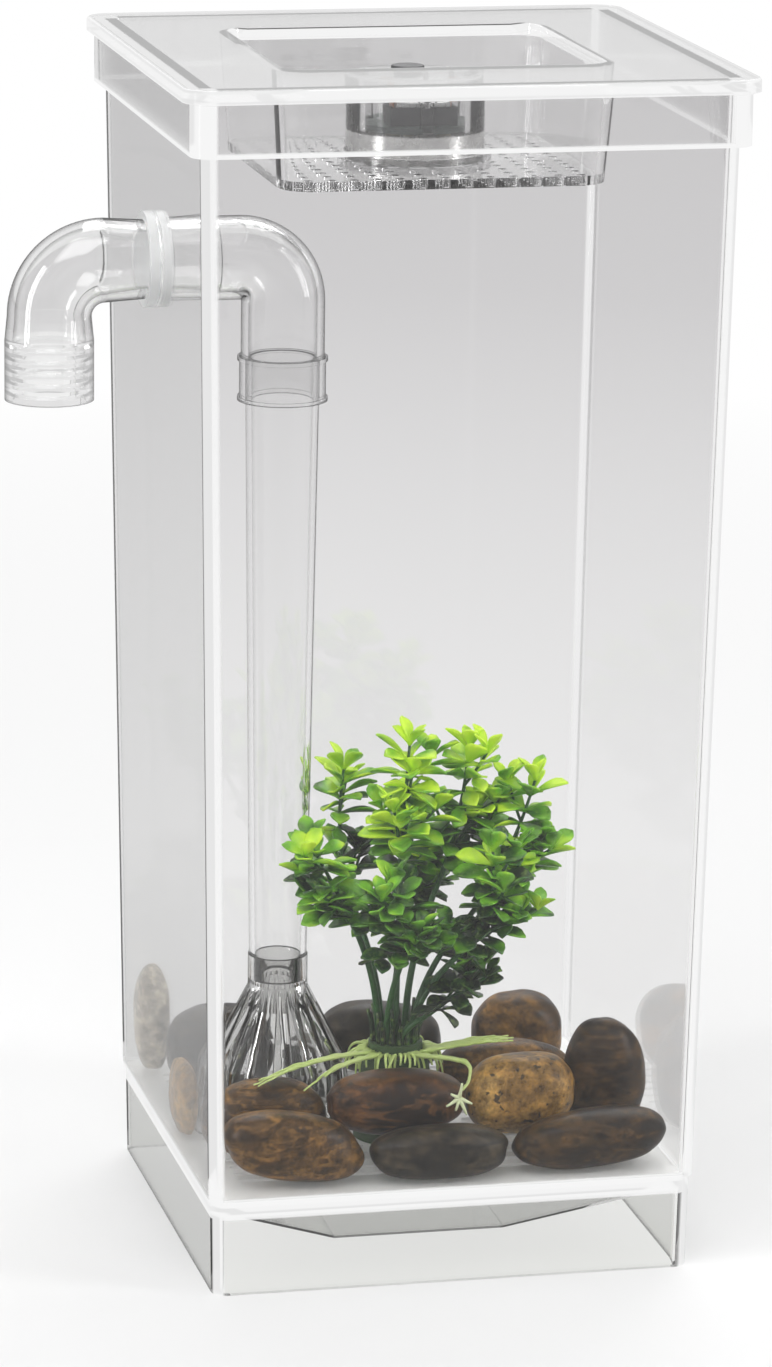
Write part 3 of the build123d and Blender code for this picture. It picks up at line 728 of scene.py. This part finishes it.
# %% Make the stones
BROWN = ((0.02, 0.009, 0.003), (0.085, 0.042, 0.01), (0.24, 0.125, 0.03))
REDDISH = ((0.015, 0.006, 0.002), (0.065, 0.026, 0.007), (0.18, 0.078, 0.02))
DEEP = ((0.008, 0.004, 0.0015), (0.028, 0.014, 0.005), (0.085, 0.046, 0.014))
TAN = ((0.1, 0.05, 0.012), (0.32, 0.18, 0.045), (0.6, 0.38, 0.12))
GREY = ((0.008, 0.006, 0.004), (0.023, 0.017, 0.01), (0.06, 0.045, 0.027))
PALE = ((0.3, 0.26, 0.2), (0.48, 0.43, 0.35), (0.65, 0.6, 0.52))
STONES = {
    "stone_front_left": (BROWN, 1, 0.5, 0.6),
    "stone_left": (BROWN, 2, 0.4, 0.7),
    "stone_left_thin": (TAN, 3, 0.2, 0.3),
    "stone_back_left": (GREY, 4, 0.2, 0.7),
    "stone_pale_upright": (PALE, 5, 0.1, 0.2),
    "stone_dark_small": (GREY, 6, 0.2, 0.3),
    "stone_back": (GREY, 7, 0.1, 0.3),
    "stone_front_top": (REDDISH, 8, 0.6, 0.5),
    "stone_front_dark": (GREY, 9, 0.2, 0.8),
    "stone_speckled": (TAN, 10, 0.9, 0.1),
    "stone_front_right": (DEEP, 11, 0.8, 0.8),
    "stone_right": (DEEP, 12, 0.4, 0.7),
    "stone_back_right": (BROWN, 13, 0.4, 0.4),
    "stone_middle": (BROWN, 14, 0.4, 0.6),
}
stone_faces = 0
for node, (palette, seed, speck, bands) in STONES.items():
    finish = stone_finish(node + "_finish", palette, seed, speck, bands)
    stone_faces += pebble(node, seed, finish)
print("stones made:", len(STONES), "with", stone_faces, "faces")

# %% [markdown]
# ## One leaf
#
# Each leaf of the plastic plant is a small cupped oval, moulded with a groove down its
# middle and thicker than a living leaf. A flat card with a picture would look like paper
# from the side, so this one is a real solid, but of a few dozen faces, because the plant
# has hundreds of them.

# %% Leaf form
LEAF_LENGTH = 7.0 * mm
LEAF_WIDTH = 3.8 * mm
LEAF_THICK = 0.35 * mm
LEAF_ROWS = 7
LEAF_COLUMNS = 2
LEAF_CUP = 0.14
LEAF_GROOVE = 0.05
LEAF_STALK = 0.16
LEAF_TIP = 0.04
LEAF_DROOP = 0.22
LEAF_SPRING = 0.1


def leaf_form():
    """A cupped oval leaf along +X with its face up, closed all round."""
    bm = bmesh.new()
    rows = []
    for i in range(LEAF_ROWS + 1):
        t = i / LEAF_ROWS
        belly = math.sin(math.pi * min(t ** 1.7, 0.999)) ** 0.7
        width = LEAF_WIDTH * max(belly, LEAF_STALK * (1 - t), LEAF_TIP)
        line = -LEAF_DROOP * LEAF_LENGTH * t * t + LEAF_SPRING * LEAF_LENGTH * t
        row = []
        for j in range(LEAF_COLUMNS + 1):
            s = 2 * j / LEAF_COLUMNS - 1
            cup = (LEAF_CUP * s * s - LEAF_GROOVE * (s == 0)) * width
            row.append(bm.verts.new((t * LEAF_LENGTH, s * width / 2, cup + line)))
        rows.append(row)
    for low_row, high_row in zip(rows, rows[1:]):
        for j in range(LEAF_COLUMNS):
            bm.faces.new((low_row[j], high_row[j], high_row[j + 1], low_row[j + 1]))
    bmesh.ops.recalc_face_normals(bm, faces=bm.faces)
    bmesh.ops.solidify(bm, geom=bm.faces[:], thickness=LEAF_THICK)
    mesh = bpy.data.meshes.new("leaf_form")
    bm.to_mesh(mesh)
    bm.free()
    mesh.polygons.foreach_set("use_smooth", [True] * len(mesh.polygons))
    return mesh


leaf_object = bpy.data.objects.new("leaf_form", leaf_form())
print("a leaf has", len(leaf_object.data.polygons), "faces")

# %% [markdown]
# ## Leaf colour
#
# The finish is dark green low in the plant and lime at its top, with brighter patches
# between. Two materials would show a hard border, so one finish reads the height of each
# place and blends, and a broad noise moves the border about.

# %% Leaf finish
LEAF_GREENS = [(0.05, (0.004, 0.018, 0.003)), (0.3, (0.016, 0.09, 0.006)),
               (0.56, (0.17, 0.48, 0.012)), (0.85, (0.62, 0.9, 0.03))]
LEAF_STREAK = (0.45, 0.68, 0.12)
STREAK_REACH = (0.5, 0.75)
STREAK_SHARE = 0.3
HEIGHT_SHARE = 0.8
PATCH_SHARE = 1.9
DARKEST_TONE = 0.08
PATCH_SCALE = 110.0
STREAK_SCALE = 900.0
DARK_BAND = 15 * mm


def leaf_finish(name, low_z, high_z):
    """A green that is dark low in the plant and lime at its top and in some patches."""
    f = Finish(name)
    rise = f.axes()[2].between(low_z, high_z)
    place = f.place()
    patch = f.noise(place, PATCH_SCALE, detail=2.0)
    streak = f.noise(place, STREAK_SCALE, detail=3.0)
    tone = rise * HEIGHT_SHARE + (patch - 0.5) * PATCH_SHARE + DARKEST_TONE
    colour = f.ramp(tone, LEAF_GREENS)
    colour = f.colour_mix(streak.between(*STREAK_REACH) * STREAK_SHARE, colour, LEAF_STREAK)
    shader = f.node("BsdfPrincipled", {}, {
        "Base Color": colour, "Roughness": streak * 0.2 + 0.3,
        "Normal": f.bump(streak, 0.2, 0.2 * mm)})
    return f.surface(shader)


plant_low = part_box("sprig_low")[0].z
plant_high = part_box("sprig_top")[1].z
LEAF_GREEN = leaf_finish("leaf_green_finish", plant_low + DARK_BAND, plant_high)
print("plant from", round(plant_low, 3), "to", round(plant_high, 3))

# %% [markdown]
# ## A leaf on each point
#
# A loop could copy the leaf hundreds of times. Geometry Nodes do the same with one small
# tree: a copy on each point, turned and sized by two attributes that the point carries. The
# copies are made real at the end, because an export would drop them otherwise.

# %% Leaf scatter tree


def scatter_tree():
    """A node group: a leaf on each point, turned and sized by the point's attributes."""
    tree = bpy.data.node_groups.new("leaf_scatter", "GeometryNodeTree")
    for name, kind in (("Geometry", "Geometry"), ("Leaf", "Object"), ("Leaf Scale", "Float"),
                       ("Finish", "Material")):
        tree.interface.new_socket(name, in_out="INPUT", socket_type="NodeSocket" + kind)
    tree.interface.new_socket("Geometry", in_out="OUTPUT", socket_type="NodeSocketGeometry")

    def add(kind, **settings):
        made = tree.nodes.new(kind)
        for key, value in settings.items():
            setattr(made, key, value)
        return made

    inputs = add("NodeGroupInput")
    outputs = add("NodeGroupOutput")
    turn = add("GeometryNodeInputNamedAttribute", data_type="FLOAT_VECTOR")
    turn.inputs["Name"].default_value = "turn"
    size = add("GeometryNodeInputNamedAttribute", data_type="FLOAT")
    size.inputs["Name"].default_value = "size"
    info = add("GeometryNodeObjectInfo")
    scaled = add("ShaderNodeMath", operation="MULTIPLY")
    copies = add("GeometryNodeInstanceOnPoints")
    real = add("GeometryNodeRealizeInstances")
    coat = add("GeometryNodeSetMaterial")
    for source, target in (
            (inputs.outputs["Leaf"], info.inputs["Object"]),
            (inputs.outputs["Geometry"], copies.inputs["Points"]),
            (info.outputs["Geometry"], copies.inputs["Instance"]),
            (turn.outputs["Attribute"], copies.inputs["Rotation"]),
            (size.outputs["Attribute"], scaled.inputs[0]),
            (inputs.outputs["Leaf Scale"], scaled.inputs[1]),
            (scaled.outputs[0], copies.inputs["Scale"]),
            (copies.outputs["Instances"], real.inputs["Geometry"]),
            (real.outputs["Geometry"], coat.inputs["Geometry"]),
            (inputs.outputs["Finish"], coat.inputs["Material"]),
            (coat.outputs["Geometry"], outputs.inputs["Geometry"])):
        tree.links.new(source, target)
    return tree


LEAF_TREE = scatter_tree()
print("leaf tree has", len(LEAF_TREE.nodes), "nodes")

# %% [markdown]
# The tree runs as a modifier on a mesh that is only points. Its inputs are set by each
# socket's identifier before it is first evaluated, and the result is taken as a plain mesh,
# so neither the modifier nor the points are left in the scene.

# %% Run the tree
LEAF_SCALE = 1.0


def scatter(name, points):
    """A plain mesh with the leaf put on (place, turn, size) points."""
    mesh = bpy.data.meshes.new(name + "_points")
    mesh.from_pydata([p for p, _, _ in points], [], [])
    turn = mesh.attributes.new("turn", "FLOAT_VECTOR", "POINT")
    turn.data.foreach_set("vector", [c for _, e, _ in points for c in e])
    size = mesh.attributes.new("size", "FLOAT", "POINT")
    size.data.foreach_set("value", [s for _, _, s in points])
    carrier = bpy.data.objects.new(name + "_points", mesh)
    scene.collection.objects.link(carrier)
    modifier = carrier.modifiers.new("scatter", "NODES")
    modifier.node_group = LEAF_TREE
    keys = {item.name: item.identifier for item in LEAF_TREE.interface.items_tree
            if item.in_out == "INPUT"}
    modifier[keys["Leaf"]] = leaf_object
    modifier[keys["Leaf Scale"]] = LEAF_SCALE
    modifier[keys["Finish"]] = LEAF_GREEN
    graph = bpy.context.evaluated_depsgraph_get()
    made = bpy.data.meshes.new_from_object(carrier.evaluated_get(graph))
    made.name = name
    bpy.data.objects.remove(carrier)
    made.materials.clear()
    return link(name, made, LEAF_GREEN)


print("leaves are scattered at scale", LEAF_SCALE)

# %% [markdown]
# ## Stems
#
# A stem or a root is a thin tube along a bend. A curve with a round bevel would give the
# same shape, but a tube built ring by ring may taper, and its ends are closed at once.

# %% Tubes and bends
BEND_STEPS = 12


def tube(bm, path, radii, sides=8):
    """A closed tube through a list of points."""
    rings = []
    for i, (point, radius) in enumerate(zip(path, radii)):
        ahead = path[min(i + 1, len(path) - 1)] - path[max(i - 1, 0)]
        quat = ahead.to_track_quat("Z", "Y")
        ring = []
        for k in range(sides):
            a = 2 * math.pi * k / sides
            side = Vector((math.cos(a) * radius, math.sin(a) * radius, 0))
            ring.append(bm.verts.new(point + quat @ side))
        rings.append(ring)
    for low_ring, high_ring in zip(rings, rings[1:]):
        for k in range(sides):
            n = (k + 1) % sides
            bm.faces.new((low_ring[k], low_ring[n], high_ring[n], high_ring[k]))
    bm.faces.new(rings[0][::-1])
    bm.faces.new(rings[-1])


def bent(start, middle, end, steps=BEND_STEPS):
    """Points on a smooth bend that starts at start and ends at end."""
    times = [i / steps for i in range(steps + 1)]
    return [start * (1 - t) ** 2 + middle * (2 * t * (1 - t)) + end * t * t for t in times]


def thinning(radius, start, loss):
    """A radius for each point of a bend, thinner towards the end."""
    return [radius * (start - loss * i / BEND_STEPS) for i in range(BEND_STEPS + 1)]


print("a bend has", BEND_STEPS, "steps")

# %% [markdown]
# ## Whorls of leaves
#
# Leaves stand round a twig in tiers: small and steep at its tip, larger and flatter below.
# Each is turned by chance within narrow limits, as moulded leaves are when they have been
# packed and unpacked. A leaf is left out where it would touch the riser when the plant is
# lifted past it.

# %% Leaf points
TIER_STEP = 3.1 * mm
TIERS = [(4, 60, 0.85), (4, 34, 1.05), (4, 12, 1.12), (4, -4, 1.05), (3, -10, 0.95)]
SIDE_TIERS = [(4, 48, 0.85), (3, 15, 1.0), (2, -5, 0.9)]
HEADING_PLAY = 16
LIFT_PLAY = 13
ROLL_PLAY = 35
SIZE_PLAY = (0.82, 1.15)
RISER = Vector((-26.6, 0.0)) * mm
RISER_CLEAR = 10.2 * mm
LEAF_TRIED_AT = (0.3, 0.7, 1.0)
random.seed(7)


def clear_of_riser(place, turn, size):
    """Whether a leaf stays off the riser when the plant is lifted past it."""
    along = Vector((LEAF_LENGTH * size, 0, 0))
    along.rotate(turn)
    return all(((place + along * t).xy - RISER).length > RISER_CLEAR for t in LEAF_TRIED_AT)


def whorls(path, tiers):
    """Leaf points on tiers down from a twig's tip, steep on top and flat below."""
    axis = (path[-1] - path[-3]).normalized()
    points = []
    for tier, (leaves, rise, scale) in enumerate(tiers):
        place = path[-1] - axis * (TIER_STEP * tier)
        start = random.uniform(0, 360)
        for k in range(leaves):
            spread = random.uniform(-HEADING_PLAY, HEADING_PLAY)
            heading = math.radians(start + 360 / leaves * k + spread)
            lift = math.radians(rise + random.uniform(-LIFT_PLAY, LIFT_PLAY))
            roll = math.radians(random.uniform(-ROLL_PLAY, ROLL_PLAY))
            turn = Euler((roll, -lift, heading), "XYZ")
            size = scale * random.uniform(*SIZE_PLAY)
            if clear_of_riser(place, turn, size):
                points.append((place, turn, size))
    return points


print("leaves on a full tip:", sum(leaves for leaves, _, _ in TIERS))

# %% [markdown]
# ## Sprigs
#
# A sprig is one moulding that plugs into the base: a stem that leans outwards to a knee, and
# twigs from there to its tips, with short side twigs that lean away from the plant's middle.
# The knees and tips repeat the frame's own places, so each sprig stands in its socket.

# %% Make the sprigs
SPRIGS = {
    "sprig_left": (4, (-14, -17, 66), [(-24, -18, 82), (-21, -19, 68)]),
    "sprig_left_back": (3, (-11, -3, 66), [(-11, 9, 90), (-13, 7, 73)]),
    "sprig_top": (8, (-3, -10, 74), [(-1, -8, 99), (-5, -12, 86)]),
    "sprig_front": (5, (-5, -19, 58), [(-8, -25, 74), (2, -24, 60)]),
    "sprig_back": (2, (0, -2, 62), [(2, 9, 82), (8, 8, 66)]),
    "sprig_right_top": (1, (6, -6, 72), [(12, -6, 97), (15, -4, 84)]),
    "sprig_right": (0, (10, -11, 64), [(26, -7, 90), (27, -9, 76)]),
    "sprig_right_front": (7, (8, -18, 60), [(13, -24, 80), (19, -21, 65)]),
    "sprig_low": (6, (0, -17, 46), [(13, -15, 52)]),
}
PLANT_AXIS = Vector((-4.0, -11.5, 40.2)) * mm
PEG_RING = 3.6 * mm
PEG_ANGLE = 45
MIDDLE_PEG = 8
STEM_RADIUS = 0.8 * mm
TWIG_RADIUS = 0.42 * mm
TIP_REACH = 3.2 * mm
SIDE_PLACES = (4, 6, 9)
SIDE_LENGTH = 8.0 * mm
SIDE_RISE = 1.5 * mm
SIDE_OUTWARDS = 0.7
SIDE_UPWARDS = 0.5
SIDE_BEND = 0.4
TWIG_BEND = 0.5
STEM_GREEN = plain_finish("stem_green", (0.012, 0.06, 0.012), (0.03, 0.12, 0.02), 0.35,
                          grain_scale=900.0)


def side_twig(twig, at):
    """A short twig that leaves a longer one, by chance but mostly outwards."""
    away = twig[at] - PLANT_AXIS
    outwards = Vector((away.x, away.y, 0)).normalized() * SIDE_OUTWARDS
    sway = Vector((random.uniform(-1, 1), random.uniform(-1, 1), SIDE_UPWARDS)) + outwards
    sway.normalize()
    return bent(twig[at], twig[at] + sway * SIDE_LENGTH * SIDE_BEND,
                twig[at] + sway * SIDE_LENGTH + Vector((0, 0, SIDE_RISE)))


def sprig(name, socket, knee, tips):
    """The stems and the leaves of one sprig, from its socket in the base to its tips."""
    angle = math.radians(PEG_ANGLE * socket)
    ring = PEG_RING if socket < MIDDLE_PEG else 0
    foot = PLANT_AXIS + Vector((ring * math.cos(angle), ring * math.sin(angle), 0))
    knee = Vector(knee) * mm
    bm = bmesh.new()
    stem = bent(foot, Vector((foot.x, foot.y, (foot.z + knee.z) / 2)), knee)
    tube(bm, stem, thinning(STEM_RADIUS, 1, 0.25))
    points = []
    for tip in tips:
        tip = Vector(tip) * mm
        lead = knee + (knee - stem[-2]).normalized() * (tip - knee).length * TWIG_BEND
        twig = bent(knee, lead, tip + Vector((0, 0, TIP_REACH)))
        tube(bm, twig, thinning(TWIG_RADIUS, 1.3, 0.6))
        points += whorls(twig, TIERS)
        for at in SIDE_PLACES:
            side = side_twig(twig, at)
            if (side[-1].xy - RISER).length > RISER_CLEAR + SIDE_LENGTH:
                tube(bm, side, thinning(TWIG_RADIUS, 0.75, 0))
                points += whorls(side, SIDE_TIERS)
    mesh = bpy.data.meshes.new(name + "_stems")
    bm.to_mesh(mesh)
    bm.free()
    for piece in (link(name + "_stems", mesh, STEM_GREEN), scatter(name + "_leaves", points)):
        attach(piece, "plant")
        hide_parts(name)
    return len(points)


leaf_total = sum(sprig(name, *plan) for name, plan in SPRIGS.items())
print("leaves:", leaf_total)

# %% [markdown]
# ## Roots
#
# Limp pale strands spread from a collar on the base and lie over the stones. They are the
# lightest green in the tank, nearly yellow, and their ends are split. Hair would make them
# too, but it doesn't survive an export, so they are thin tubes along the frame's own routes.

# %% Root plan
ROOT_GREEN = plain_finish("root_green_finish", (0.36, 0.55, 0.07), (0.75, 0.82, 0.38), 0.35,
                          grain_scale=500.0)
ROOT_PALE = plain_finish("root_pale_finish", (0.5, 0.62, 0.22), (0.85, 0.88, 0.62), 0.4,
                         grain_scale=500.0)
ROOT_TOP = 37.8 * mm
ROOT_RADIUS = 0.42 * mm
ROOTS = [
    [(-9.6, -14.7, 0.8), (-18, -20, 1.8), (-29, -27, 1.8), (-38, -31, -0.6)],
    [(-8.3, -16.3, 0.8), (-19, -25, 1.0), (-28, -33, -1.6)],
    [(1.6, -14.7, 0.8), (10, -17.5, 2.7), (21, -19, 3.2)],
    [(0.3, -16.3, 0.8), (11, -21, 3.4), (19, -24, 4.2)],
    [(-2.4, -17.8, 0.8), (7.2, -25, 0.8), (6.6, -33, -0.6), (3.5, -37, -2.6)],
]


def on_roots(x, y, z):
    """A place in metres from millimetres, with its height above the roots' collar."""
    return Vector((x * mm, y * mm, ROOT_TOP + z * mm))


def smooth_line(points, steps=8):
    """A smooth line through a short list of points."""
    padded = [points[0] * 2 - points[1]] + points + [points[-1] * 2 - points[-2]]
    path = []
    for a, b, c, d in zip(padded, padded[1:], padded[2:], padded[3:]):
        for i in range(steps):
            t = i / steps
            path.append(0.5 * (2 * b + (c - a) * t + (2 * a - 5 * b + 4 * c - d) * t * t
                               + (3 * b - a - 3 * c + d) * t ** 3))
    return path + [points[-1]]


def tapered(bm, path, radius, sides=6):
    """A tube that thins to a third at its end."""
    count = len(path)
    tube(bm, path, [radius * (1.1 - 0.75 * i / count) for i in range(count)], sides)


print("roots:", len(ROOTS))

# %% [markdown]
# Each route carries a loose fan of fibres that wave a little and end at different lengths.
# Short tufts hang over the edge of the base all round and hide it. The ranges that chance
# picks from are in millimetres.

# %% Fibres and tufts
FIBRES = 7
FIBRE_SPREAD = 3.4 * mm
FIBRE_WAVE = 0.25 * mm
WAVE_STEP = 0.9
WAVE_SHIFT = 2.1
FIBRE_LOSS = 7
COLLAR_RADIUS = 5.9 * mm
TUFTS = 54
TUFT_REACH = (1.5, 4.2)
TUFT_DROOP = (0.5, 4.5)
TUFT_START = (0.3, 1.0)
TUFT_SWAY = 1.4
TUFT_ARCH = 1.2 * mm
TUFT_HOOK = 0.5 * mm


def strands(bm):
    """A loose fan of fibres along each root."""
    for points in ROOTS:
        path = smooth_line([on_roots(*point) for point in points])
        for fibre in range(FIBRES):
            share = fibre / (FIBRES - 1) - 0.5
            away = Vector((0.3 * share, share, 0.12 + 0.3 * abs(share))) * FIBRE_SPREAD
            length = random.randint(len(path) - FIBRE_LOSS, len(path))
            line = []
            for i, point in enumerate(path[:length]):
                wave = FIBRE_WAVE * math.sin(i * WAVE_STEP + fibre * WAVE_SHIFT)
                line.append(point + away * (i / len(path)) + Vector((0, wave, abs(wave))))
            tapered(bm, line, ROOT_RADIUS)


def tufts(bm):
    """Short fibres that hang over the edge of the base all round."""
    for tuft in range(TUFTS):
        angle = 2 * math.pi * tuft / TUFTS + random.uniform(-0.05, 0.05)
        out = Vector((math.cos(angle), math.sin(angle), 0))
        start = Vector((PLANT_AXIS.x, PLANT_AXIS.y, ROOT_TOP)) + out * COLLAR_RADIUS
        reach = random.uniform(*TUFT_REACH) * mm
        droop = random.uniform(*TUFT_DROOP) * mm
        side = Vector((-out.y, out.x, 0)) * random.uniform(-TUFT_SWAY, TUFT_SWAY) * mm
        start.z += random.uniform(*TUFT_START) * mm
        over = start + out * reach + Vector((0, 0, TUFT_ARCH))
        end = start + out * (reach + TUFT_HOOK) + side - Vector((0, 0, droop))
        tapered(bm, bent(start, over, end, 8), ROOT_RADIUS, 5)


print("fibres:", FIBRES * len(ROOTS), "tufts:", TUFTS)

# %% [markdown]
# The strand that hangs in front ends in a pale star of split tips, and short blades of the
# leaves' green stand up between the stems.

# %% Star, blades and the root pieces
STAR = ((85, 3.4), (150, 2.2), (205, 3.2), (250, 2.6), (292, 3.6), (335, 2.8))
STAR_LEAN = -0.35
BLADES = 16
BLADE_RADIUS = 0.7 * mm
BLADE_RING = (3.8, 4.8)
BLADE_LEAN = (0.3, 1.6)
BLADE_RISE = (4.0, 9.0)


def star(bm):
    """The split pale end of the strand that hangs in front."""
    middle = on_roots(*ROOTS[-1][-1])
    for angle, length in STAR:
        angle = math.radians(angle)
        tip = middle + Vector((math.cos(angle), STAR_LEAN, math.sin(angle))) * length * mm
        tapered(bm, bent(middle, (middle + tip) / 2 + Vector((0, -0.6 * mm, 0)), tip, 6),
                ROOT_RADIUS * 1.1)


def blades(bm):
    """Short upright blades between the stems."""
    for blade in range(BLADES):
        angle = 2 * math.pi * blade / BLADES
        out = Vector((math.cos(angle), math.sin(angle), 0))
        start = PLANT_AXIS + out * random.uniform(*BLADE_RING) * mm - Vector((0, 0, 0.4 * mm))
        top = start + out * random.uniform(*BLADE_LEAN) * mm
        top.z += random.uniform(*BLADE_RISE) * mm
        tapered(bm, bent(start, start + Vector((0, 0, 3 * mm)), top, 6), BLADE_RADIUS, 5)


def root_piece(name, makers, material, node="root_strands"):
    """One mesh from several makers, which stands in for the plain root strands."""
    bm = bmesh.new()
    for maker in makers:
        maker(bm)
    mesh = bpy.data.meshes.new(name)
    bm.to_mesh(mesh)
    bm.free()
    obj = link(name, mesh, material)
    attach(obj, "plant")
    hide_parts(node)
    return len(mesh.polygons)


for name, makers, material in (("root_fibres", (strands, tufts), ROOT_GREEN),
                               ("root_star", (star,), ROOT_PALE),
                               ("root_blades", (blades,), LEAF_GREEN)):
    print(name, "has", root_piece(name, makers, material), "faces")

# %% [markdown]
